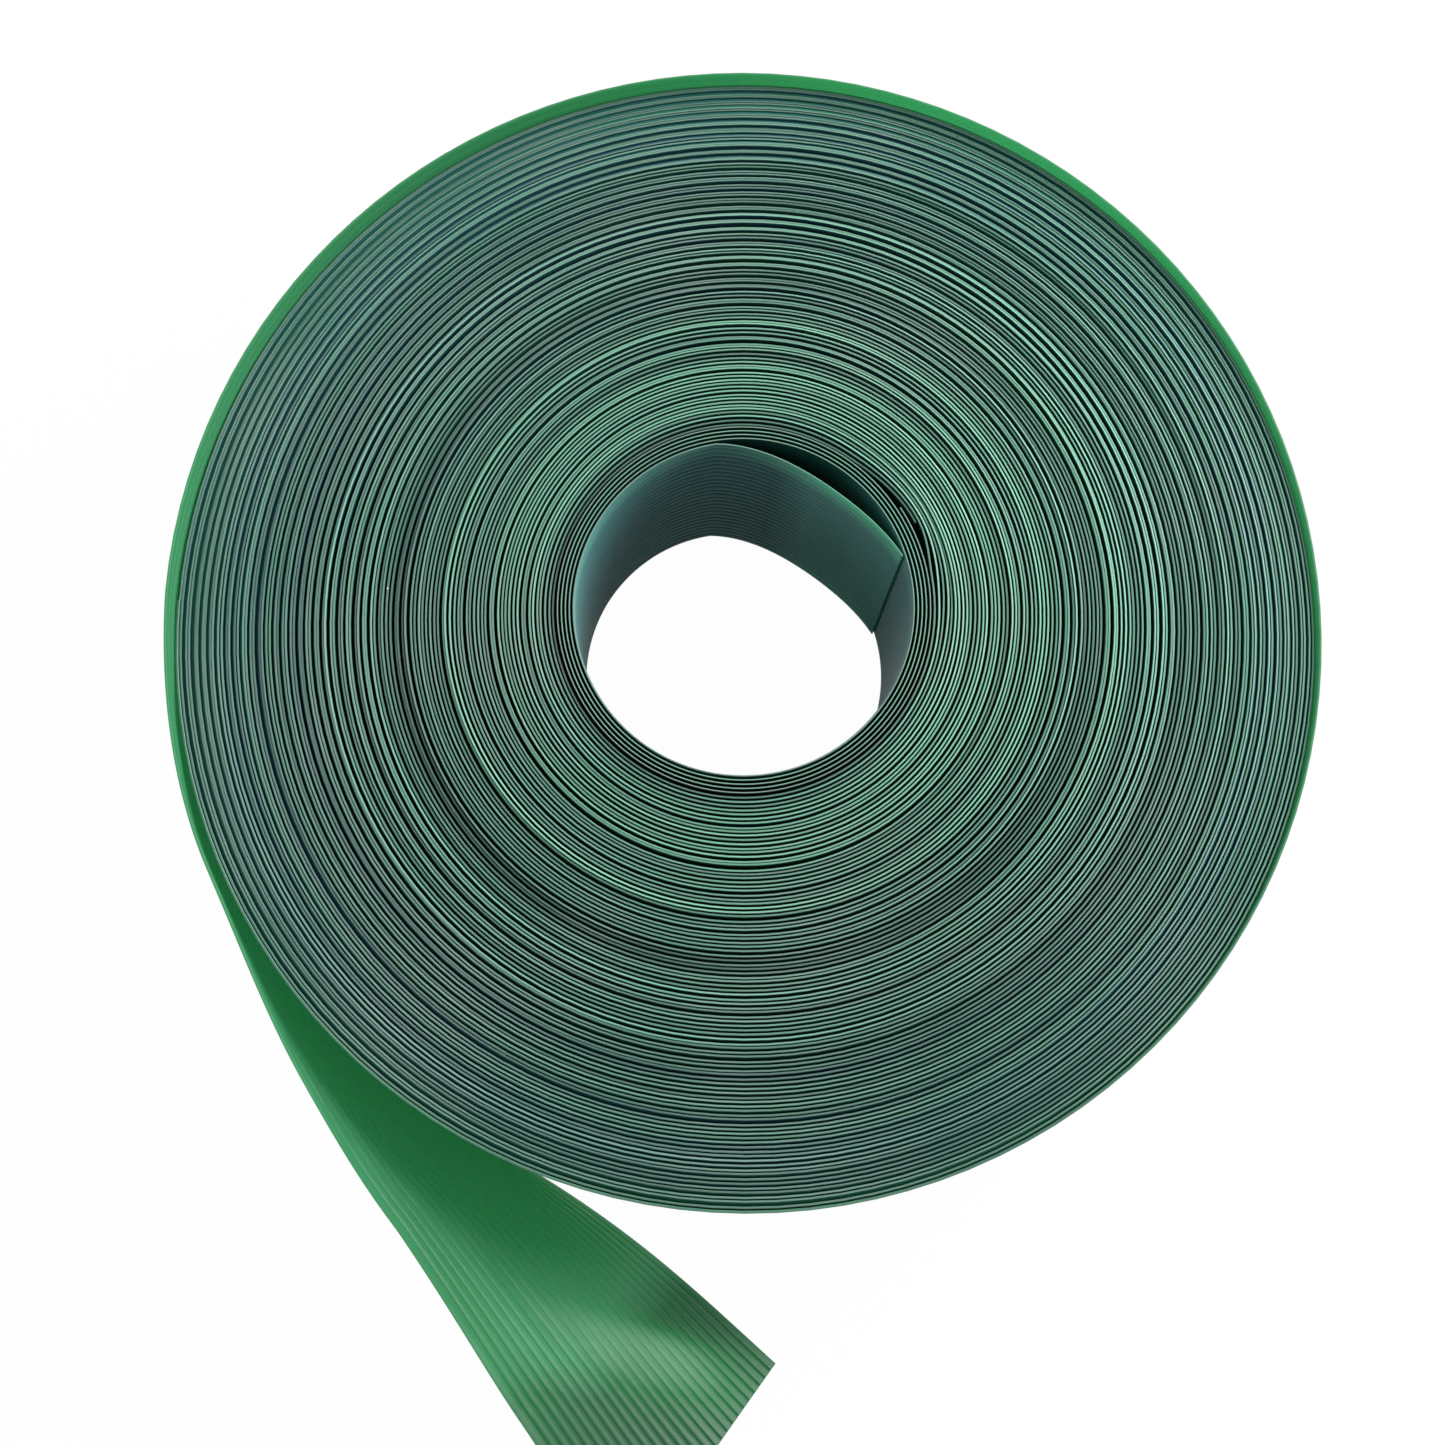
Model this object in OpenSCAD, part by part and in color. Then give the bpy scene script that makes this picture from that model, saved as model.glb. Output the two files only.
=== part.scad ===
// Pancake roll of thin ribbed strip that stands on its lower edges: a short inner strip, the main strip
// wound round it, its last turn standing proud, and a free tail that leans over as it leaves.
// The origin is the middle of the open bore at floor level and +Z is the roll's axis. Angles run
// anticlockwise from +X, seen from above, which is also the way in which the strip winds outwards.

/* [Strip] */
// Width of the strip, which is the height of the roll
strip_w = 47.5; // [30:0.5:70]
// Thickness of the strip
strip_t = 0.5; // [0.4:0.05:0.6]

/* [Roll] */
// Radius of the open bore
bore_r = 27.4; // [20:0.1:40]
// Radius at which the free tail leaves the roll
roll_r = 93.7; // [75:0.1:130]
// Clear gap between neighbouring loops
loop_gap = 0.45; // [0.42:0.01:0.6]
// Share by which the roll bulges along its long axis
oval = 0.013; // [0:0.001:0.02]
// Direction of the long axis
oval_dir = 78; // [0:1:180]
// Distance by which the outermost turn lies off the bore's centre
off_centre = 1.65; // [0:0.05:2]
// Direction in which it does
off_dir = -31; // [-180:1:180]

/* [Inner strip] */
// Direction in which its loose end leaves the bore wall
inner_start = 98; // [60:1:150]
// Direction of its outer end, between one and two loops further on
inner_end = 34; // [10:1:55]
// Radial step of one of its loops
inner_step = 1.3; // [1.1:0.05:1.8]
// Angle that the loose end spans
loose_span = 80; // [40:1:100]
// Farthest that the loose end stands off the bore wall
loose_lift = 3.1; // [1:0.1:5]

/* [Main strip] */
// Direction of its inner end
main_start = 26; // [5:1:50]
// Whole loops between its inner end and the raised turn
main_loops = 20; // [8:1:20]
// Radial step at both of its ends, where a loop is a single turn
end_step = 1.1; // [1:0.05:1.4]

/* [Raised turn] */
// Direction in which the tail leaves the roll
leave_dir = 180; // [150:1:210]
// Height to which the outermost turn has climbed there
turn_rise = 4.9; // [0:0.1:8]

/* [Free tail] */
// Angle through which the tail goes on round the roll
tail_wrap = 60.5; // [40:0.5:75]
// Difference between the radius of that curve and the roll's
tail_slack = 2.1; // [2:0.1:20]
// Angle by which the tail swings out over the first half of that curve
tail_drift = 4; // [0:0.5:6]
// Length of the rest of the tail
tail_run = 64.5; // [20:0.1:90]
// Angle through which that rest turns away from the roll
tail_back = 12; // [0:0.5:30]
// Lean from upright that the tail's lower edge is still turning towards at its cut end
foot_lean = 70; // [0:1:80]
// Lean of the tail's upper edge at its cut end, from upright
top_lean = 50; // [35:1:80]

/* [Hidden] */

wound_green = [0.24, 0.44, 0.37];
inner_green = [0.18, 0.36, 0.33];
clear_green = [0.14, 0.45, 0.24];

rings = 24;
ring_step = 360 / rings;
loose_rings = 12;
tail_rings = 33;
tail_panels = 8;

// Each strip's ends, counted on through its loops from the first whole turn
inner_last = inner_end + 720;
main_first = main_start + 720;
main_last = leave_dir + 360 * (main_loops + 2);
turn_last = main_last + 360;

// Height of the tail's foot, which keeps its leaning back just off the floor
foot_clear = 0.9 * strip_t;
// Shares of a loop over which the main strip settles and then climbs over its own end
settle_share = 0.12;
climb_share = 0.2;
// Share of the raised turn that still stands on the floor
level_share = 0.25;
// How much later than evenly the turn climbs over the rest
climb_power = 1.6;
// Share of the tail in which its foot comes down to the floor
landing_share = 0.3;
// Share of the tail in which it turns away from the roll
turn_away_over = 0.35;
// Where along the tail each lean starts, and over how much of it the lean grows
foot_lean_start = 0.48;
foot_lean_over = 0.77;
top_lean_start = 0.27;
top_lean_over = 0.55;

function smooth(x) = let (t = min(max(x, 0), 1)) t * t * (3 - 2 * t);
function polar(r, a) = [r * cos(a), r * sin(a)];

// A radius on the slightly oval roll, whose turns lie further off centre the further out they are. It is
// put on the straight facet that joins two whole ring steps.
function around(r, a) = let (
    past = a - ring_step * floor(a / ring_step),
    shift = off_centre * (r - bore_r) / (roll_r - bore_r) * cos(a - off_dir)
) (r * (1 + oval * cos(2 * (a - oval_dir))) + shift) * cos(ring_step / 2) / cos(past - ring_step / 2);

// Ring angles of a stretch: its two ends and every whole ring step between them
function ring_angles(first, last) = concat(
    [first],
    [for (k = [floor(first / ring_step) + 1 : ceil(last / ring_step) - 1]) k * ring_step],
    [last]
);

// Radius of the inner strip's inner face
function inner_face(a) = bore_r + inner_step * (a - inner_start) / 360;

// Radius of the main strip's inner face. A loop is a single turn at both ends, and between them it
// stands for four or five, so the steps there are wider. Past the inner strip's end the main strip
// settles into its place, and a loop later it climbs out again over its own end.
main_r = inner_face(main_first + 360);
main_n = (turn_last - main_first) / 360;
wider_by = (roll_r - main_r - end_step * main_n) / (main_n - 2);
function main_face(a) = let (
    n = (a - main_first) / 360,
    wide = n - 1 + exp(-n) - exp(n - main_n) + exp(-main_n),
    settled = smooth(n / settle_share) - smooth((n - 1) / climb_share + 1)
) main_r + end_step * n + wider_by * wide - min(end_step, inner_step) * settled;

// Section of an upright strip: an angle, the radii of its two faces and the height of its lower edge
function upright(a, r_in, r_out, z = 0) = let (in = polar(r_in, a), out = polar(r_out, a)) [
    [in.x, in.y, z],
    [out.x, out.y, z],
    [out.x, out.y, z + strip_w],
    [in.x, in.y, z + strip_w]
];

inner_sections = [for (a = ring_angles(inner_start, inner_last))
    upright(a, around(inner_face(a), a), around(inner_face(a + 360) - loop_gap, a))];

main_sections = [for (a = ring_angles(main_first, main_last))
    upright(a, around(main_face(a), a), around(main_face(a + 360) - loop_gap, a))];

function climbed(a) = pow(max(0, (a - main_last) / 360 - level_share) / (1 - level_share), climb_power);
turn_sections = [for (a = ring_angles(main_last, turn_last))
    upright(a, around(main_face(a), a), around(main_face(a), a) + strip_t, turn_rise * climbed(a))];

// The loose end bows off the bore wall and comes back to it at its cut, where this list starts.
loose_sections = [for (i = [loose_rings : -1 : 0]) let (
    u = i / loose_rings,
    a = inner_start - loose_span * u,
    r = around(bore_r, a) - loose_lift * sin(180 * pow(u, 1.1))
) upright(a, r, r + strip_t)];

// The tail's foot swings out a little, curves on round the roll, and then turns away from it.
wrap_length = (roll_r + tail_slack) * tail_wrap * PI / 180;
wrap_share = wrap_length / (wrap_length + tail_run);
tail_step = (wrap_length + tail_run) / tail_rings;
function heading(t) = leave_dir + 90
    + tail_wrap * min(t / wrap_share, 1)
    - tail_drift * sin(180 * min(2 * t / wrap_share, 1))
    - tail_back * smooth((t - wrap_share) / turn_away_over);
function foot_at(i) = i == 0
    ? polar(around(main_face(turn_last), turn_last), leave_dir)
    : foot_at(i - 1) + polar(tail_step, heading((i - 0.5) / tail_rings));

// The strip leans over outwards as it goes, and its upper edge leans more than its foot.
function foot_tilt(t) = foot_lean * smooth((t - foot_lean_start) / foot_lean_over);
function top_tilt(t) = top_lean * smooth((t - top_lean_start) / top_lean_over);
function foot_height(t) = turn_rise + (foot_clear - turn_rise) * smooth(t / landing_share);

// Unit vectors up the width of a leaning strip and out of its back, for a heading and a lean
function up_width(h, lean) = [sin(lean) * sin(h), -sin(lean) * cos(h), cos(lean)];
function off_back(h, lean) = [cos(lean) * sin(h), -cos(lean) * cos(h), -sin(lean)];

// Points of the tail's inner face from its foot upwards, at a heading and a list of leans
function inner_line(foot, h, leans, k = 0) = k == tail_panels ? [foot] : concat([foot], inner_line(
    foot + strip_w / tail_panels * up_width(h, (leans[k] + leans[k + 1]) / 2), h, leans, k + 1));

tail_sections = [for (i = [0 : tail_rings]) let (
    t = i / tail_rings,
    h = heading(t),
    foot = foot_at(i),
    leans = [for (k = [0 : tail_panels]) foot_tilt(t) + (top_tilt(t) - foot_tilt(t)) * k / tail_panels],
    face = inner_line([foot.x, foot.y, foot_height(t)], h, leans),
    back = [for (k = [0 : tail_panels]) face[k] + strip_t * off_back(h, leans[k])]
) concat(back, [for (k = [tail_panels : -1 : 0]) face[k]])];

// One unbroken solid through a list of sections with equally many points
module strip(sections) {
    n = len(sections);
    m = len(sections[0]);
    sides = [for (i = [0 : n - 2], j = [0 : m - 1]) let (k = (j + 1) % m) each [
        [i * m + j, (i + 1) * m + k, i * m + k],
        [i * m + j, (i + 1) * m + j, (i + 1) * m + k]
    ]];
    first_cap = [for (j = [0 : m / 2 - 2]) each [
        [j, m - 2 - j, m - 1 - j],
        [j, j + 1, m - 2 - j]
    ]];
    last_cap = [for (t = first_cap) [for (k = [2, 1, 0]) t[k] + (n - 1) * m]];
    polyhedron([for (s = sections) each s], concat(sides, first_cap, last_cap));
}

module inner_strip_turns() {
    color(inner_green) strip(inner_sections);
}

module inner_strip_end() {
    color(inner_green) strip(loose_sections);
}

module main_strip_turns() {
    color(wound_green) strip(main_sections);
}

module raised_outer_turn() {
    color(clear_green) strip(turn_sections);
}

module free_tail() {
    color(clear_green) strip(tail_sections);
}

// Least distance, seen from above, from the outer face of a loop to the loop that lies round it
function flat(p) = [p.x, p.y];
function to_line(p, q, s) = let (d = s - q, t = min(max((p - q) * d / (d * d), 0), 1)) norm(p - q - t * d);
function least_gap(inside, outside, skip) = min([
    for (i = [0 : len(inside) - 1], j = [i + skip : min(i + skip + 4, len(outside) - 2)])
        to_line(flat(inside[i][1]), flat(outside[j][0]), flat(outside[j + 1][0]))
]);
whole_main = concat(main_sections, [for (i = [1 : len(turn_sections) - 1]) turn_sections[i]]);
echo(inner_strip_gap = least_gap(inner_sections, inner_sections, rings - 2));
echo(main_strip_gap = least_gap(whole_main, whole_main, rings - 2));

inner_strip_turns();
inner_strip_end();
main_strip_turns();
raised_outer_turn();
free_tail();
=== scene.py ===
"""A flat roll of ribbed, translucent green strip: all its turns, its loose inner end and its free tail.

The origin is the middle of the open bore at floor level, +Z is the roll's axis, and angles run
anticlockwise from +X seen from above. A place along a strip is such an angle, counted on from turn to
turn. Shapes are worked out in millimetres and written to the meshes in metres.
"""

import math

import bpy
import numpy as np
from mathutils import Matrix, Vector


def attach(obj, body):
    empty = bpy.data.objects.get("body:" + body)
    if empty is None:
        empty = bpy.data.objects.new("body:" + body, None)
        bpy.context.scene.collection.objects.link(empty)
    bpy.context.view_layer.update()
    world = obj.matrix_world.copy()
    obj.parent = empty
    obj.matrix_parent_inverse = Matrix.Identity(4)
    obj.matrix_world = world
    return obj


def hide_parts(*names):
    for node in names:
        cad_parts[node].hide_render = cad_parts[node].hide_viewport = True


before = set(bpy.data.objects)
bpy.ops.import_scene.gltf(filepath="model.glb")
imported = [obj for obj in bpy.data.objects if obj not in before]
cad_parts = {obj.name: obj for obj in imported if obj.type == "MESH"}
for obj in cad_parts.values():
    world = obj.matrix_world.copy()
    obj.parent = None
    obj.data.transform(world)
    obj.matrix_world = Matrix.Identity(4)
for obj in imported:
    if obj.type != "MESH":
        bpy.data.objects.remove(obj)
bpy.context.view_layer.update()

MM = 0.001

# The strip: its width, its thickness over the ribs, its ribs and the grooves between them
STRIP_W = 47.5
STRIP_T = 0.5
RIBS = 26
GROOVE_HALF = 0.24
GROOVE_DEPTH = 0.17
CROWN = 0.13
BACK_GROOVE_DEPTH = 0.06
EDGE_ROUND = 0.06
# Two faces that meet at less than this many degrees are shaded as one
SHADED_AS_ONE = 24

# The roll: its bore, the radius where the tail leaves, its oval, and how far off centre its turns lie
BORE_R = 27.4
ROLL_R = 93.7
OVAL = 0.013
OVAL_DIR = 78.0
OFF_CENTRE = 1.65
OFF_DIR = -31.0
# Degrees from station to station, and stations in a whole turn
STEP = 3
LOOP = 360 // STEP

# The inner strip, whose back is plain
INNER_T = 0.36
BACK_BULGE = 0.28
INNER_START = 99
INNER_STOP = 33 + 5 * 360
INNER_END_R = 30.6
# Its loose end, which bows off the bore wall
LOOSE_SPAN = 81.0
LOOSE_LIFT = 3.1
LOOSE_POWER = 1.1
# Degrees over which the loose end comes clear of the wall, letting light through, and is painted lighter
LOOSE_CLEAR = 60
# The wall is seen for this many degrees of its first turn, then has a painted shadow behind the loose end.
WALL_SEEN = 275
WALL_PAINTED_SHADOW_OVER = 50
WALL_PAINTED_SHADOW = 0.9

# The main strip, whose inner end lies outside the inner strip's outer end
MAIN_START = 27 + 5 * 360
MAIN_STOP = 180 + 100 * 360
LAST_START = MAIN_STOP - 360
SETTLED_R = 30.75
# A wound turn shows only its cut edge, which is a little thinner than the ribs, and a least gap beside it
EDGE_T = 0.34
LEAST_GAP = 0.012
# The strip stands out where it passes over its own inner end, lower and longer from loop to loop
START_BUMP = 1.1
BUMP_LOOPS = 8
BUMP_RISE = 9.0
BUMP_SPREAD = 9.0
BUMP_FALL = 30.0
# It winds a little unevenly, but for its last degrees
UNEVEN = 0.13
UNEVEN_LESS_OUTSIDE = 0.02
EVEN_SPAN = 720
# Turns lie in pairs, which are tightest towards one side of the roll and further out
PAIR_SHIFT = 0.16
PAIR_AT_BORE = 0.3
PAIR_MORE_OUTSIDE = 0.7
PAIR_DIR = 115.0
# Turns stand at slightly different heights, in waves a few turns long and in steps that fade outwards
WAVE_DEPTH = 0.45
STEP_DEPTH = 0.75
STEP_AT_BORE = 0.9
STEP_LESS_OUTSIDE = 0.6
# Below their edges the turns touch, so that nothing shows through between them. They touch less deep
# further out, and least deep where the pairs are tightest.
INNER_TOUCH = 11.0
OUTER_TOUCH = 0.7
TIGHTER_BY = 0.6
TOUCH_GAP = 0.01
# How free it stands. Where it stands deep, towards the bore, its faces get painted shade
FREE_AT_BORE = 0.15
FREE_MORE_OUTSIDE = 0.85
# Where its outer face starts to show below the raised turn, and the degrees over which that grows
FACE_SHOWN = (MAIN_STOP - 760, 40)

# The last turn stays on the floor for a share of its length, and then climbs more and more
TURN_RISE = 4.9
LEVEL_SHARE = 0.25
CLIMB_POWER = 1.6
# The free tail swings out a little, curves on round the roll, and then runs on and turns away from it. Its
# foot comes down to the floor, and its upper edge and its foot lean outwards. Shares are of its length.
LEAVE_HEADING = 270
TAIL_WRAP = 60.5
TAIL_SLACK = 2.1
TAIL_DRIFT = 4.0
TAIL_RUN = 64.5
TAIL_BACK = 12.0
TURN_AWAY_OVER = 0.35
FOOT_LEAN = 70.0
FOOT_LEAN_GROWS = (0.48, 0.77)
TOP_LEAN = 50.0
TOP_LEAN_GROWS = (0.27, 0.55)
FOOT_CLEAR = 0.45
LANDING_SHARE = 0.3
# Stations along the tail, and points up its width at which its lean is followed
TAIL_STATIONS = 120
TAIL_POINTS = 96
TAIL_CURVE = (ROLL_R + TAIL_SLACK) * math.radians(TAIL_WRAP)
TAIL_LENGTH = TAIL_CURVE + TAIL_RUN
CURVE_SHARE = TAIL_CURVE / TAIL_LENGTH

# Where their looks change: the share at which a change starts, and the share over which it grows. A
# share upwards is of the strip's width, from its foot. The raised turn comes clear and lets light through.
# Where it still lies level its faces get a little painted shade, and as it comes clear its edges are
# painted greener: painted light.
TURN_CLEARS = (LEVEL_SHARE, 0.3)
GLOW_STARTS = (LEVEL_SHARE, 0.25)
GLOW_GROWS = (0.5, 0.25)
FIRST_GLOW = 0.55
LATER_GLOW = 0.45
LEVEL_FREE = 0.8
CLEAR_FREE = 0.2
# The tail is painted darker towards its cut and along its upper edge: painted shade
CUT_PAINTED_SHADE = (0.75, 0.2)
CUT_LESS_FREE = 0.7
UPPER_PAINTED_SHADE = 0.5
UPPER_PAINTED_SHADE_UP = (0.65, 0.3)
UPPER_PAINTED_SHADE_ALONG = (0.4, 0.25)
# A painted sheen, a pale highlight in the colour, lies slantwise over the tail, short of its upper edge
SHEEN_SLANT = 0.33
SHEEN_GROWS = (-0.07, 0.07)
SHEEN_ENDS = (0.0, 0.18)
SHEEN_AT_FOOT = 0.35
SHEEN_MORE_UP = 0.65
SHEEN_GROWS_UP = (0.0, 0.35)
SHEEN_ENDS_UP = (0.5, 0.4)
PAINTED_SHEEN_STRENGTH = 0.55

# Smooth random waves along the strips, up to an angle past the last station. Each has a seed, the degrees
# between its free values, and its greatest size.
WAVES_END = 40000
WINDING_WAVE = (11, 167, 1.0)
HEIGHT_WAVE = (21, 900, 0.5)
HEIGHT_STEPS = (22, 190, 0.5)
SLANT_WAVE = (23, 150, 0.04)
EDGE_SHORT_WAVE = (31, 320, 0.25)
EDGE_LONG_WAVE = (32, 900, 0.3)
FACE_SHORT_WAVE = (33, 200, 0.35)
FACE_LONG_WAVE = (34, 1100, 0.15)

# Shades of the edges and the faces, each from 0 to 1. Edges are greyer and more alike further out, and
# painted lighter towards one side: painted light from that direction.
EDGE_SHADE = 0.52
EDGE_GREYER_OUTSIDE = 0.28
EDGE_EVENER_OUTSIDE = 0.6
EDGE_PAINTED_LIGHT = 0.2
PAINTED_LIGHT_DIR = 18.0
FACE_SHADE = 0.5

# The camera looks down on the roll from a little below its middle. Its focal length fits the photograph.
CAMERA_AT = (-11.9, -87.2, 343.1)
CAMERA_TILT = (12.87, -1.66)
FRAME_PIXELS = 1445
FOCAL_PIXELS = 1900
SENSOR_MM = 36.0

# The room, in metres, and its plain light
FLOOR_HALF = 1.5
ROOM_LIGHT = 0.43
# Share of the floor's colour that is white of its own, where it is looked at
FLOOR_WHITE = 0.98


def smooth(x):
    """Nought up to 0, one from 1 on, and an even S between."""
    t = np.clip(x, 0.0, 1.0)
    return t * t * (3 - 2 * t)


def growth(x, start, over):
    """Nought up to start, one from over past it, and an even S between."""
    return smooth((x - start) / over)


def laid(radii, angles):
    """Radii on the slightly oval roll, whose turns lie further off centre the further out they are."""
    oval = OVAL * np.cos(np.radians(2 * (angles - OVAL_DIR)))
    shift = OFF_CENTRE * (radii - BORE_R) / (ROLL_R - BORE_R) * np.cos(np.radians(angles - OFF_DIR))
    return radii * (1 + oval) + shift


def wave(kind, angles):
    """Smooth random numbers at angles along a strip, of one of the kinds that are listed above."""
    seed, every, size = kind
    values = np.random.default_rng(seed).uniform(-1, 1, int(WAVES_END / every) + 3)
    place = angles / every
    before = np.floor(place).astype(int)
    share = smooth(place - before)
    return size * (values[before] * (1 - share) + values[before + 1] * share)


# ---- The winding: radius of a strip's inner face at every station --------------------------------


def inner_strip_radius(angle):
    """Radius of the inner strip's inner face at a place along it."""
    pitch = (INNER_END_R - BORE_R) / (INNER_STOP - INNER_START)
    return BORE_R + pitch * (angle - INNER_START)


def bump(angle):
    """How far the main strip stands out where it passes over its own inner end, fading loop by loop."""
    total = 0.0
    for loop in range(BUMP_LOOPS):
        past = angle - MAIN_START - 360 * loop
        height = START_BUMP * (1 - loop / BUMP_LOOPS)
        rise = smooth(1 + past / (BUMP_RISE + BUMP_SPREAD * loop)) if loop else float(past >= 0)
        total += height * (rise if past < 0 else 1 - smooth(past / BUMP_FALL))
    return total


def wind_main_strip():
    """Stacks the main strip's turns outwards, and returns its stations and their radii."""
    angles = np.arange(MAIN_START, MAIN_STOP + STEP, STEP)
    pitch = (ROLL_R - SETTLED_R) / (MAIN_STOP - MAIN_START)
    outer = (angles - MAIN_START) / (MAIN_STOP - MAIN_START)
    uneven = smooth((MAIN_STOP - angles) / EVEN_SPAN)
    wish = SETTLED_R + pitch * (angles - MAIN_START)
    wish += (UNEVEN - UNEVEN_LESS_OUTSIDE * outer) * wave(WINDING_WAVE, angles) * uneven
    pairs = np.cos(np.radians((angles - PAIR_DIR) / 2))
    wish += PAIR_SHIFT * (PAIR_AT_BORE + PAIR_MORE_OUTSIDE * outer) * pairs * uneven
    radii = np.empty(len(angles))
    for station, angle in enumerate(angles):
        # The first loop lies on the inner strip, and every later one on the loop before it.
        if station >= LOOP:
            under = radii[station - LOOP]
        else:
            under = inner_strip_radius(angle if angle <= INNER_STOP else angle - 360)
        radii[station] = max(wish[station] + bump(angle), under + EDGE_T + LEAST_GAP)
    return angles, radii


# ---- Cross-sections and meshes -------------------------------------------------------------------


def rib_profile(depth, crown):
    """Points (place across the width, depth into the strip) of a face with its ribs."""
    pitch = STRIP_W / RIBS
    points = [(0.0, EDGE_ROUND), (EDGE_ROUND, 0.0)]
    for rib in range(RIBS):
        low = rib * pitch + (GROOVE_HALF if rib else EDGE_ROUND)
        high = (rib + 1) * pitch - (GROOVE_HALF if rib < RIBS - 1 else EDGE_ROUND)
        if rib:
            points.append((rib * pitch, depth))
            points.append((low, 0.0))
        points.append(((low + high) / 2, -crown))
        points.append((high, 0.0))
    points.append((STRIP_W, EDGE_ROUND))
    return np.array(points)


FACE = rib_profile(GROOVE_DEPTH, CROWN)
RIBBED_BACK = rib_profile(BACK_GROOVE_DEPTH, 0.0)[::-1]
PLAIN_BACK = np.array([
    (STRIP_W, EDGE_ROUND),
    (STRIP_W - EDGE_ROUND, 0.0),
    (STRIP_W / 2, -BACK_BULGE),
    (EDGE_ROUND, 0.0),
    (0.0, EDGE_ROUND),
])


def ribbed_section(back, thickness=STRIP_T):
    """Places across the width, distances from the inner face and marks round a section.

    A mark is 1 at a cut edge, -1 at the bottom of a groove in the inner face, and else 0.
    """
    across = np.concatenate([FACE[:, 0], back[:, 0]])
    out = np.concatenate([FACE[:, 1] + CROWN, thickness - back[:, 1]])
    mark = (np.abs(across - STRIP_W / 2) > STRIP_W / 2 - EDGE_ROUND / 2).astype(float)
    mark[:len(FACE)][FACE[:, 1] == GROOVE_DEPTH] = -1.0
    return across, out, mark


def swept_mesh(name, sections, mark, tone, tint, free):
    """A closed mesh through sections, an array of stations by points by three, in millimetres.

    It carries the marks of a section's points, and three values for every station or point. tone is the
    edges' shade, from 0, grey, to 1, mint. tint is the faces' shade: 0 cool, 1 warm, and 2 the raised
    turn's green; the loose end's warm is painted light, and the tail's cool painted shade. free is how
    free the strip stands: 0 deep between turns, where the faces get painted shade, 1 open, 2 lit from
    behind as well, with a painted glow at the top, and 3 where a painted sheen lies on it.
    """
    stations, ring, _ = sections.shape
    grid = np.arange(stations * ring).reshape(stations, ring)
    after = np.roll(grid, -1, axis=1)
    sides = np.stack([grid[:-1], grid[1:], after[1:], after[:-1]], axis=-1).reshape(-1, 4)
    mesh = bpy.data.meshes.new(name)
    ends = [grid[0].tolist(), grid[-1][::-1].tolist()]
    mesh.from_pydata((sections.reshape(-1, 3) * MM).tolist(), [], sides.tolist() + ends)
    layers = {"mark": np.tile(mark, stations)}
    for layer_name, values in (("tone", tone), ("tint", tint), ("free", free)):
        layers[layer_name] = (values.reshape(stations, -1) + np.zeros(ring)).ravel()
    for layer_name, values in layers.items():
        layer = mesh.attributes.new(layer_name, "FLOAT", "POINT")
        layer.data.foreach_set("value", values.astype(np.float32))
    mesh.shade_smooth()
    mesh.set_sharp_from_angle(angle=math.radians(SHADED_AS_ONE))
    mesh.validate()
    piece = bpy.data.objects.new(name, mesh)
    bpy.context.collection.objects.link(piece)
    return piece


def around(angles, radii, heights):
    """Points at angles in degrees, radii and heights."""
    turned = np.radians(angles)
    return np.stack([radii * np.cos(turned), radii * np.sin(turned), heights + 0 * radii], axis=-1)


def upright_ribbed(angles, faces, lift, back, thickness=STRIP_T):
    """Sections of a ribbed strip standing on its edge, with its inner face at radii faces."""
    across, out, _ = ribbed_section(back, thickness)
    radii = faces[:, None] + out[None, :]
    heights = lift[:, None] + across[None, :]
    return around(angles[:, None] + 0 * radii, radii, heights)


def edge_shade(angles, outer):
    """The shade of the edges along a strip. outer is 0 at the bore and 1 at the outside."""
    change = wave(EDGE_SHORT_WAVE, angles) + wave(EDGE_LONG_WAVE, angles)
    # Painted light: edges are made lighter towards one side of the roll
    lit = np.maximum(0, np.cos(np.radians(angles - PAINTED_LIGHT_DIR))) ** 2
    shade = EDGE_SHADE - EDGE_GREYER_OUTSIDE * outer
    return shade + (1 - EDGE_EVENER_OUTSIDE * outer) * change + EDGE_PAINTED_LIGHT * lit


def face_shade(angles):
    """The shade of the faces along a strip."""
    return FACE_SHADE + wave(FACE_SHORT_WAVE, angles) + wave(FACE_LONG_WAVE, angles)


# ---- Pieces --------------------------------------------------------------------------------------


def make_inner_strip():
    """The inner strip: its loose end, then nearly five turns, as one ribbed length."""
    loose = np.arange(INNER_START - LOOSE_SPAN, INNER_START, STEP)
    share = (INNER_START - loose) / LOOSE_SPAN
    stand_off = LOOSE_LIFT * np.sin(np.pi * share**LOOSE_POWER)
    wound = np.arange(INNER_START, INNER_STOP + STEP, STEP)
    angles = np.concatenate([loose, wound]).astype(float)
    faces = np.concatenate([
        laid(BORE_R, loose) - stand_off,
        laid(inner_strip_radius(wound), wound),
    ])
    sections = upright_ribbed(angles, faces, np.zeros(len(angles)), PLAIN_BACK, INNER_T)
    # The loose end is painted lighter than the wall it comes off, and the wall gets a painted shadow
    # behind it
    off_wall = 1 - growth(angles, INNER_START - LOOSE_CLEAR, LOOSE_CLEAR)
    free = 1 + off_wall - WALL_PAINTED_SHADOW * growth(angles, INNER_START + WALL_SEEN, WALL_PAINTED_SHADOW_OVER)
    mark = ribbed_section(PLAIN_BACK)[2]
    return swept_mesh("inner_strip", sections, mark, edge_shade(angles, 0.0), off_wall, free)


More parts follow.
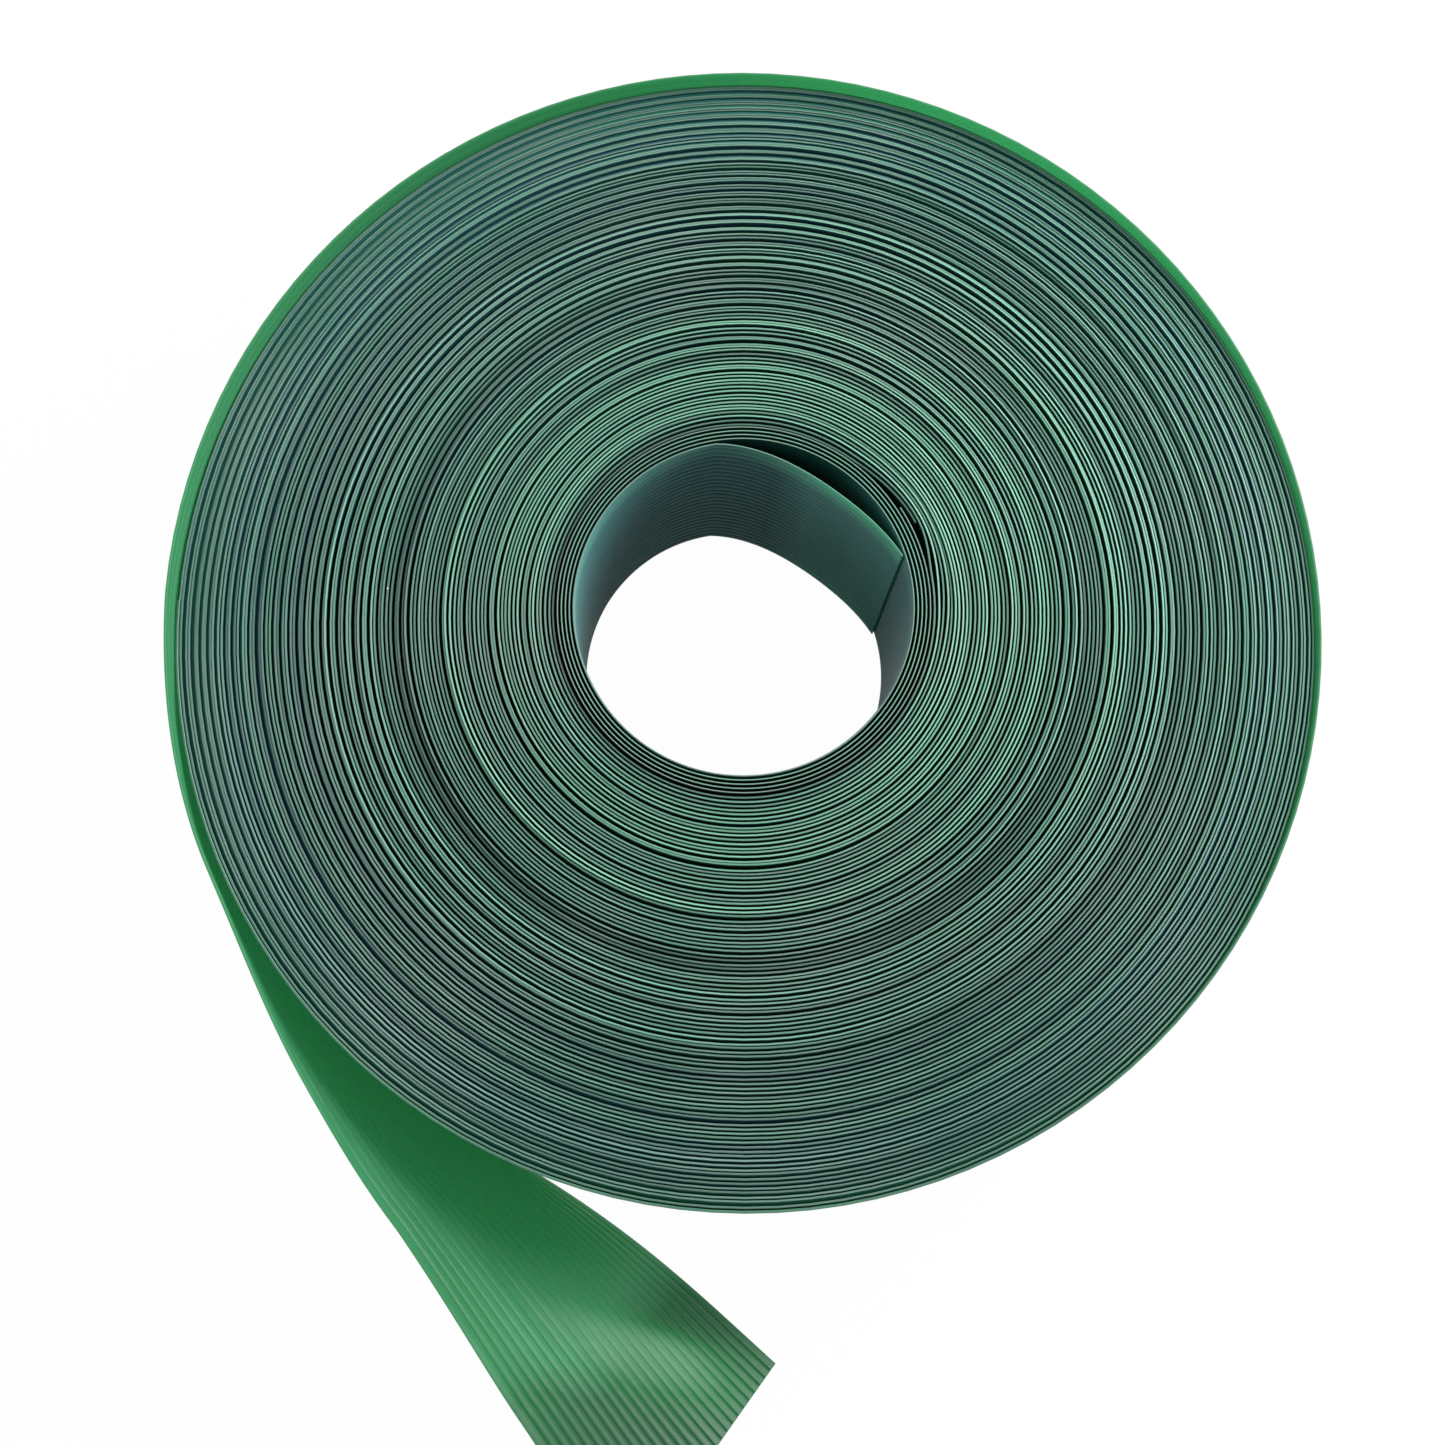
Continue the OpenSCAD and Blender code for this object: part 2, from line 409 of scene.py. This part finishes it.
def make_main_turns(angles, radii, next_radii):
    """The main strip's turns but for the raised one. next_radii are the radii one turn further on."""
    waves = 0.5 + wave(HEIGHT_WAVE, angles)
    steps = 0.5 + wave(HEIGHT_STEPS, angles)
    outer = (radii - BORE_R) / (ROLL_R - BORE_R)
    fading = STEP_AT_BORE - STEP_LESS_OUTSIDE * outer
    tops = STRIP_W - WAVE_DEPTH * waves - STEP_DEPTH * steps * fading
    tight = TIGHTER_BY * np.cos(np.radians(angles - PAIR_DIR))
    touch = tops - OUTER_TOUCH * (1 - tight) - (INNER_TOUCH - OUTER_TOUCH) * (1 - outer) ** 2
    slant = wave(SLANT_WAVE, angles)
    inside = laid(radii, angles)
    outside = inside + EDGE_T
    touching = laid(next_radii, angles) - TOUCH_GAP
    floor = np.zeros(len(angles))
    # Up the inner face, over the cut edge, and down the outer face, which bulges out to the next turn
    corners = [
        (inside, floor),
        (inside, tops - EDGE_ROUND + slant),
        (inside + EDGE_ROUND, tops + slant),
        (outside - EDGE_ROUND, tops - slant),
        (outside, tops - EDGE_ROUND - slant),
        (touching, touch),
        (outside, floor),
    ]
    sections = np.stack([around(angles, r, z) for r, z in corners], axis=1)
    mark = np.array([0.0, 0.0, 1.0, 1.0, 0.0, 0.0, 0.0])
    outer_face = np.array([0.0, 0.0, 0.0, 0.0, 1.0, 1.0, 1.0])
    # Where the outer face shows below the raised turn, it has that turn's green.
    shown = growth(angles, *FACE_SHOWN)[:, None] * outer_face
    tint = face_shade(angles)[:, None] * (1 - shown) + 2 * shown
    # Painted shade: faces deep in the roll, towards the bore, are mixed towards a dark green
    free = FREE_AT_BORE + FREE_MORE_OUTSIDE * outer
    return swept_mesh("main_strip", sections, mark, edge_shade(angles, outer), tint, free)


def tail_heading(share):
    """The direction in which the tail's foot runs, in radians, at shares of its length."""
    on_round = TAIL_WRAP * np.minimum(share / CURVE_SHARE, 1)
    drift = TAIL_DRIFT * np.sin(np.pi * np.minimum(2 * share / CURVE_SHARE, 1))
    away = TAIL_BACK * growth(share, CURVE_SHARE, TURN_AWAY_OVER)
    return np.radians(LEAVE_HEADING + on_round - drift - away)


def tail_sections(start):
    """Sections of the free tail, from start, the point where its foot leaves the roll."""
    share = np.linspace(0, 1, TAIL_STATIONS)
    middle = tail_heading((share[1:] + share[:-1]) / 2)
    moves = np.stack([np.cos(middle), np.sin(middle)], axis=1) * TAIL_LENGTH / (TAIL_STATIONS - 1)
    foot = np.array(start) + np.concatenate([[[0, 0]], np.cumsum(moves, axis=0)])
    foot_z = TURN_RISE + (FOOT_CLEAR - TURN_RISE) * smooth(share / LANDING_SHARE)
    foot_lean = FOOT_LEAN * growth(share, *FOOT_LEAN_GROWS)
    top_lean = TOP_LEAN * growth(share, *TOP_LEAN_GROWS)

    # The inner face from its foot upwards, and at each of its points the direction out of the back
    width = np.linspace(0, STRIP_W, TAIL_POINTS)
    lean = np.radians(foot_lean[:, None] + (top_lean - foot_lean)[:, None] * width[None, :] / STRIP_W)
    heading = tail_heading(share)
    outwards = np.stack([np.sin(heading), -np.cos(heading), 0 * heading], axis=1)[:, None, :]
    up = np.array([0.0, 0.0, 1.0])
    up_width = np.sin(lean)[..., None] * outwards + np.cos(lean)[..., None] * up
    off_back = np.cos(lean)[..., None] * outwards - np.sin(lean)[..., None] * up
    steps = (up_width[:, 1:] + up_width[:, :-1]) / 2 * (width[1] - width[0])
    line = np.concatenate([np.zeros((TAIL_STATIONS, 1, 3)), np.cumsum(steps, axis=1)], axis=1)
    line += np.concatenate([foot, foot_z[:, None]], axis=1)[:, None, :]

    across, out, _ = ribbed_section(RIBBED_BACK)
    sections = np.empty((TAIL_STATIONS, len(across), 3))
    for station in range(TAIL_STATIONS):
        for axis in range(3):
            place = np.interp(across, width, line[station, :, axis])
            normal = np.interp(across, width, off_back[station, :, axis])
            sections[station, :, axis] = place + normal * out
    return sections


def make_outer_turn(angles, radii):
    """The raised last turn and the free tail, as one ribbed length."""
    turn_share = (angles - LAST_START) / 360
    climbed = np.maximum(0, turn_share - LEVEL_SHARE) / (1 - LEVEL_SHARE)
    faces = laid(radii, angles)
    turn = upright_ribbed(angles, faces, TURN_RISE * climbed**CLIMB_POWER, RIBBED_BACK)
    tail = tail_sections((-faces[-1], 0.0))
    sections = np.concatenate([turn[:-1], tail])
    turn_share = np.concatenate([turn_share[:-1], np.ones(TAIL_STATIONS)])
    tail_share = np.concatenate([np.zeros(len(turn) - 1), np.linspace(0, 1, TAIL_STATIONS)])
    across, _, mark = ribbed_section(RIBBED_BACK)
    up = across / STRIP_W

    # As the raised turn comes clear its edges are painted greener, and its level part has some painted
    # shade
    clear = growth(turn_share, *TURN_CLEARS)
    glow = FIRST_GLOW * growth(turn_share, *GLOW_STARTS) + LATER_GLOW * growth(turn_share, *GLOW_GROWS)
    # Painted shade towards the cut and along the upper edge: the tint goes towards the cool colour
    painted_cut_shade = growth(tail_share, *CUT_PAINTED_SHADE)
    painted_upper_shade = UPPER_PAINTED_SHADE * growth(up, *UPPER_PAINTED_SHADE_UP)
    tint = (1 - painted_cut_shade)[:, None] - painted_upper_shade * growth(tail_share, *UPPER_PAINTED_SHADE_ALONG)[:, None]
    # The painted sheen: where it lies, free is raised past 2, which mixes a pale highlight into the colour
    past = tail_share[:, None] - 1.0 + SHEEN_SLANT * across / STRIP_W
    sheen = growth(past, *SHEEN_GROWS) * (1 - growth(past, *SHEEN_ENDS))
    sheen *= SHEEN_AT_FOOT + SHEEN_MORE_UP * growth(up, *SHEEN_GROWS_UP)
    sheen *= 1 - growth(up, *SHEEN_ENDS_UP)
    free = LEVEL_FREE + CLEAR_FREE * clear + glow - CUT_LESS_FREE * painted_cut_shade
    free = free[:, None] * (1 - sheen) + (2 + PAINTED_SHEEN_STRENGTH * sheen) * sheen
    return swept_mesh("outer_turn_and_tail", sections, mark, clear, tint, free)


# ---- Materials -----------------------------------------------------------------------------------


def srgb(red, green, blue):
    """A colour given as it shows on a screen, from 0 to 255."""
    def linear(c):
        c = c / 255
        return c / 12.92 if c <= 0.04045 else ((c + 0.055) / 1.055) ** 2.4
    return (linear(red), linear(green), linear(blue), 1.0)


# Colours that the strips share
# Painted shade, in the grooves and deep between turns
PAINTED_SHADE_GREEN = srgb(16, 48, 43)
OUTSIDE_GREEN = srgb(74, 128, 100)
# The colour of the painted sheen on the tail
PAINTED_SHEEN_GREEN = srgb(160, 192, 174)
SPECK_WHITE = srgb(222, 232, 226)

# The values of tint, tone, mark and free between which one look gives way to the next
COOL_TO_WARM = (0.3, 0.7)
WARM_TO_OUTSIDE = (1.0, 2.0)
GREY_TO_MINT = (0.2, 0.8)
FACE_TO_GROOVE = (-0.2, -0.9)
FACE_TO_EDGE = (0.0, 0.9)
LIT_FROM_BEHIND = (0.8, 2.0)
LIT_TO_PAINTED_SHEEN = (2.0, 3.0)

# Cloudy pale patches on the edges: how many a metre, where they show, and how strongly
CLOUD_SCALE = 26.0
CLOUD_SHOWS = (0.45, 0.75)
CLOUD_STRENGTH = 0.5
# Fine grain in the gloss and the surface: how many a metre, how strong, and its height in metres
GRAIN_SCALE = 800.0
GRAIN_STRENGTH = 0.12
GRAIN_HEIGHT = 0.0001
NOISE_DETAIL = 3.0
# Pale specks: how many a metre, and in shares of their spacing the biggest one's radius and their blur
SPECK_SCALE = 105.0
SPECK_RADIUS = 0.022
SPECK_BLUR = 0.004


class Nodes:
    """Short calls for building one material's node tree."""

    def __init__(self, name):
        self.material = bpy.data.materials.new(name)
        self.material.use_nodes = True
        self.tree = self.material.node_tree
        self.tree.nodes.clear()

    def put(self, socket, value):
        """Links an input to another node's output, or sets it to a plain value."""
        if isinstance(value, bpy.types.NodeSocket):
            self.tree.links.new(value, socket)
        else:
            socket.default_value = value

    def add(self, kind, inputs=None, **settings):
        """A node of a kind. inputs holds what goes into it, by name or number."""
        node = self.tree.nodes.new(kind)
        for key, value in settings.items():
            setattr(node, key, value)
        for key, value in (inputs or {}).items():
            self.put(node.inputs[key], value)
        return node

    def math(self, operation, a, b):
        """A sum of two numbers, or another operation on them."""
        return self.add("ShaderNodeMath", {0: a, 1: b}, operation=operation).outputs[0]

    def ramp(self, value, low, high):
        """Nought below low, one above high and even between them."""
        node = self.add("ShaderNodeMapRange", {"Value": value, "From Min": low, "From Max": high})
        return node.outputs[0]

    def mix(self, share, a, b):
        """Colour a where share is nought, and b where it is one."""
        return self.add("ShaderNodeMix", {0: share, 6: a, 7: b}, data_type="RGBA").outputs[2]

    def noise(self, place, scale):
        """Cloudy values about a half, with scale clouds a metre."""
        inputs = {"Vector": place, "Scale": scale, "Detail": NOISE_DETAIL}
        return self.add("ShaderNodeTexNoise", inputs).outputs[0]

    def value(self, layer_name):
        """A value that the mesh carries."""
        return self.add("ShaderNodeAttribute", attribute_name=layer_name).outputs["Fac"]

    def finish(self, shader):
        """Gives the material its shader, and returns the material."""
        self.add("ShaderNodeOutputMaterial", {"Surface": shader.outputs[0]})
        return self.material


def specks(n, place):
    """One in small pale specks, about a centimetre apart, else nought."""
    flat = n.add("ShaderNodeVectorMath", {0: place, 1: (1.0, 1.0, 0.0)}, operation="MULTIPLY")
    cells = n.add("ShaderNodeTexVoronoi", {"Vector": flat.outputs[0], "Scale": SPECK_SCALE})
    size = n.add("ShaderNodeSeparateColor", {0: cells.outputs["Color"]}).outputs[0]
    radius = n.math("MULTIPLY", n.math("MULTIPLY", size, size), SPECK_RADIUS)
    return n.ramp(n.math("SUBTRACT", radius, cells.outputs["Distance"]), 0.0, SPECK_BLUR)


def strip_material(name, faces, edges, fade, groove, gloss, rough, through=0.0, glow=None):
    """Soft plastic strip: ribbed faces, paler cut edges, and light that comes through where it can.

    faces are the shade near the top, a painted glow where light comes through, and the cool and warm
    shades further down, and edges are the grey, mint and pale shades of a cut edge. fade is the depth in
    metres over which the top's painted glow fades, groove says how dark the painted shade in a groove is,
    and rough holds the least and the most roughness. through is the share of light that comes through
    where it can, and glow is the colour that this light takes on. Shade deep between turns and a sheen
    on the tail are painted into the colour as well.
    """
    n = Nodes(name)
    place = n.add("ShaderNodeTexCoord").outputs["Object"]
    height = n.add("ShaderNodeSeparateXYZ", {0: place}).outputs[2]
    mark, tone, tint, free = (n.value(layer_name) for layer_name in ("mark", "tone", "tint", "free"))
    cloud = n.noise(place, CLOUD_SCALE)
    grain = n.noise(place, GRAIN_SCALE)

    top, cool, warm = faces
    face = n.mix(n.ramp(tint, *COOL_TO_WARM), cool, warm)
    face = n.mix(n.ramp(tint, *WARM_TO_OUTSIDE), face, OUTSIDE_GREEN)
    # Painted glow: near the top, where light comes through from behind, the face takes the lighter top
    # colour
    painted_top_glow = n.ramp(height, STRIP_W * MM - fade, STRIP_W * MM - 0.5 * fade)
    lit = n.ramp(free, *LIT_FROM_BEHIND)
    face = n.mix(n.math("MULTIPLY", painted_top_glow, lit), face, top)
    # Painted shade in the grooves, as dark as groove says
    groove_shade_mask = n.ramp(mark, *FACE_TO_GROOVE)
    face = n.mix(n.math("MULTIPLY", groove_shade_mask, groove), face, PAINTED_SHADE_GREEN)
    # Painted shade deep between turns, where free is below 1
    face = n.mix(free, PAINTED_SHADE_GREEN, face)
    # Painted sheen: where free passes 2, the face is mixed towards a pale green highlight
    face = n.mix(n.ramp(free, *LIT_TO_PAINTED_SHEEN), face, PAINTED_SHEEN_GREEN)

    grey, mint, pale = edges
    edge = n.mix(n.ramp(tone, *GREY_TO_MINT), grey, mint)
    edge = n.mix(n.math("MULTIPLY", n.ramp(cloud, *CLOUD_SHOWS), CLOUD_STRENGTH), edge, pale)
    edge = n.mix(specks(n, place), edge, SPECK_WHITE)

    low, high = rough
    roughness = n.add("ShaderNodeMapRange", {"Value": grain, "To Min": low, "To Max": high})
    relief = n.add("ShaderNodeBump", {
        "Height": grain,
        "Strength": GRAIN_STRENGTH,
        "Distance": GRAIN_HEIGHT,
    })
    surface = n.add("ShaderNodeBsdfPrincipled", {
        "Base Color": n.mix(n.ramp(mark, *FACE_TO_EDGE), face, edge),
        "Roughness": roughness.outputs[0],
        "Specular IOR Level": gloss,
        "Normal": relief.outputs[0],
    })
    if not through:
        return n.finish(surface)
    shining = n.add("ShaderNodeBsdfTranslucent", {"Color": glow})
    share = n.math("MULTIPLY", lit, through)
    both = n.add("ShaderNodeMixShader", {0: share, 1: surface.outputs[0], 2: shining.outputs[0]})
    return n.finish(both)


def floor_material():
    """Plain white paper, which shows white to the camera and in gloss and keeps the object's shadow."""
    n = Nodes("white_paper")
    path = n.add("ShaderNodeLightPath").outputs
    seen = n.math("MAXIMUM", path["Is Camera Ray"], path["Is Glossy Ray"])
    seen = n.math("MAXIMUM", seen, path["Is Transmission Ray"])
    white = n.add("ShaderNodeEmission", {"Color": (1, 1, 1, 1), "Strength": 1.0})
    paper = n.add("ShaderNodeBsdfDiffuse", {"Color": (0.8, 0.8, 0.8, 1)})
    share = n.math("MULTIPLY", seen, FLOOR_WHITE)
    both = n.add("ShaderNodeMixShader", {0: share, 1: paper.outputs[0], 2: white.outputs[0]})
    return n.finish(both)


# ---- Scene ---------------------------------------------------------------------------------------


def add_camera():
    """The camera at the photograph's place and tilt."""
    tilt_x, tilt_y = (math.radians(v) for v in CAMERA_TILT)
    data = bpy.data.cameras.new("camera")
    data.sensor_width = SENSOR_MM
    data.lens = FOCAL_PIXELS / FRAME_PIXELS * SENSOR_MM
    data.clip_start = 0.01
    camera = bpy.data.objects.new("camera", data)
    camera.matrix_world = (
        Matrix.Translation([v * MM for v in CAMERA_AT])
        @ Matrix.Rotation(tilt_y, 4, "Y")
        @ Matrix.Rotation(tilt_x, 4, "X")
    )
    bpy.context.collection.objects.link(camera)
    bpy.context.scene.camera = camera


def add_lamp(name, place, size, watts):
    """A square soft lamp at a place in metres, facing the middle of the roll."""
    data = bpy.data.lights.new(name, "AREA")
    data.shape = "SQUARE"
    data.size = size
    data.energy = watts
    lamp = bpy.data.objects.new(name, data)
    lamp.rotation_euler = Vector(place).to_track_quat("Z", "Y").to_euler()
    lamp.location = place
    bpy.context.collection.objects.link(lamp)


def add_floor():
    """A wide floor under the roll, which isn't part of it."""
    mesh = bpy.data.meshes.new("floor")
    corners = [(x * FLOOR_HALF, y * FLOOR_HALF, 0) for x, y in ((-1, -1), (1, -1), (1, 1), (-1, 1))]
    mesh.from_pydata(corners, [], [(0, 1, 2, 3)])
    mesh.materials.append(floor_material())
    floor = bpy.data.objects.new("floor", mesh)
    bpy.context.collection.objects.link(floor)


def light_room():
    """A plain pale room with two soft lamps."""
    world = bpy.data.worlds.new("room")
    world.use_nodes = True
    inputs = world.node_tree.nodes["Background"].inputs
    inputs["Color"].default_value = (1, 1, 1, 1)
    inputs["Strength"].default_value = ROOM_LIGHT
    bpy.context.scene.world = world
    add_lamp("key", place=(0.70, 0.40, 0.40), size=0.8, watts=20.0)
    add_lamp("fill", place=(-0.80, 0.15, 0.45), size=0.6, watts=1.5)


add_camera()
stations, inner_faces = wind_main_strip()
last_turn = stations >= LAST_START
before_last = stations <= LAST_START

inner_strip = make_inner_strip()
inner_strip.data.materials.append(strip_material(
    "inner_strip",
    # The top colour is a painted glow, and the warm one is the loose end's painted light
    faces=(srgb(120, 200, 176), srgb(60, 108, 108), srgb(102, 158, 154)),
    edges=(srgb(128, 146, 136), srgb(120, 176, 150), srgb(146, 156, 147)),
    fade=0.006,
    groove=0.85,
    gloss=0.035,
    rough=(0.36, 0.50),
    through=0.35,
    glow=srgb(118, 214, 176),
))
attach(inner_strip, "root")
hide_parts("inner_strip_turns", "inner_strip_end")

main_turns = make_main_turns(stations[before_last], inner_faces[before_last], inner_faces[LOOP:])
main_turns.data.materials.append(strip_material(
    "wound_strip",
    # The top colour is a painted glow just below the cut edge
    faces=(srgb(58, 106, 98), srgb(44, 90, 102), srgb(42, 106, 86)),
    edges=(srgb(84, 114, 104), srgb(124, 184, 157), srgb(136, 150, 143)),
    fade=0.0010,
    groove=0.0,
    gloss=0.24,
    rough=(0.40, 0.60),
))
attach(main_turns, "root")
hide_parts("main_strip_turns")

outer_turn = make_outer_turn(stations[last_turn], inner_faces[last_turn])
outer_turn.data.materials.append(strip_material(
    "outer_strip",
    # The top colour is a painted glow, and the cool one is the tail's painted shade
    faces=(srgb(68, 124, 95), srgb(36, 82, 54), srgb(84, 144, 112)),
    edges=(srgb(80, 112, 102), srgb(80, 136, 102), srgb(86, 142, 108)),
    fade=0.006,
    groove=0.6,
    gloss=0.3,
    rough=(0.26, 0.38),
    through=0.52,
    glow=srgb(130, 222, 168),
))
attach(outer_turn, "root")
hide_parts("raised_outer_turn", "free_tail")

add_floor()
light_room()
bpy.context.scene.view_settings.view_transform = "Standard"
